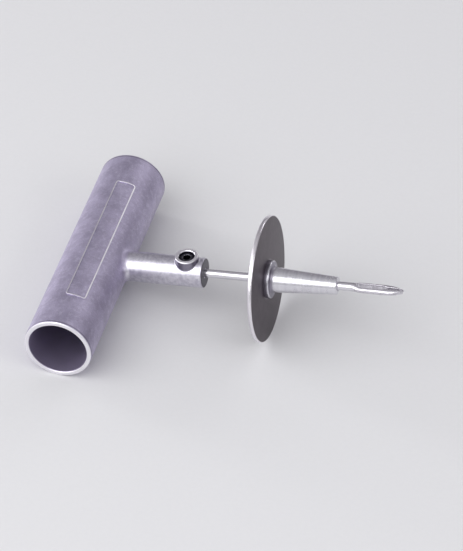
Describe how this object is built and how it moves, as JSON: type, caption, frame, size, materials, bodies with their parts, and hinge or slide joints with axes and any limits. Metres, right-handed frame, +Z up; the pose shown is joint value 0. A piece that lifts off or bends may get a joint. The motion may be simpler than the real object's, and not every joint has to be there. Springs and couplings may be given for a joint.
{
  "type": "tyre plug insertion tool",
  "caption": "T-handle tyre plug insertion tool: hollow cast handle with neck, clamped split-eye needle, and a sliding stop disc with a tapered guide sleeve.",
  "frame": {"origin": "where the axis of the round handle meets the axis of the needle", "axes": "+X along the needle to its tip, +Y along the handle, +Z up through the set screw"},
  "size_m": [0.1385, 0.106, 0.0504],
  "materials": {
    "cast_handle": "tumbled die casting, satin grey, brighter on the neck",
    "needle_steel": "bright ground steel",
    "black_screw": "black oxide with an oily sheen",
    "disc_steel": "sheared plate, dull faces and a bright rounded rim",
    "turned_steel": "turned and bright plated, fine lathe lines"
  },
  "bodies": {
    "handle": {"t_handle": "cast_handle"},
    "needle": {"needle": "needle_steel"},
    "collar": {"stop_disc": "disc_steel", "guide_sleeve": "turned_steel"},
    "set_screw": {"set_screw": "black_screw"}
  },
  "joints": [
    {"name": "collar_slide", "type": "slide", "parent": "needle", "child": "collar", "axis": [1, 0, 0], "range_m": [-0.023, 0.0058]},
    {"name": "needle_draw", "type": "slide", "parent": "handle", "child": "needle", "axis": [1, 0, 0], "range_m": [0, 0.026]},
    {"name": "set_screw_back_out", "type": "slide", "parent": "handle", "child": "set_screw", "axis": [0, 0, 1], "range_m": [0, 0.004]}
  ]
}
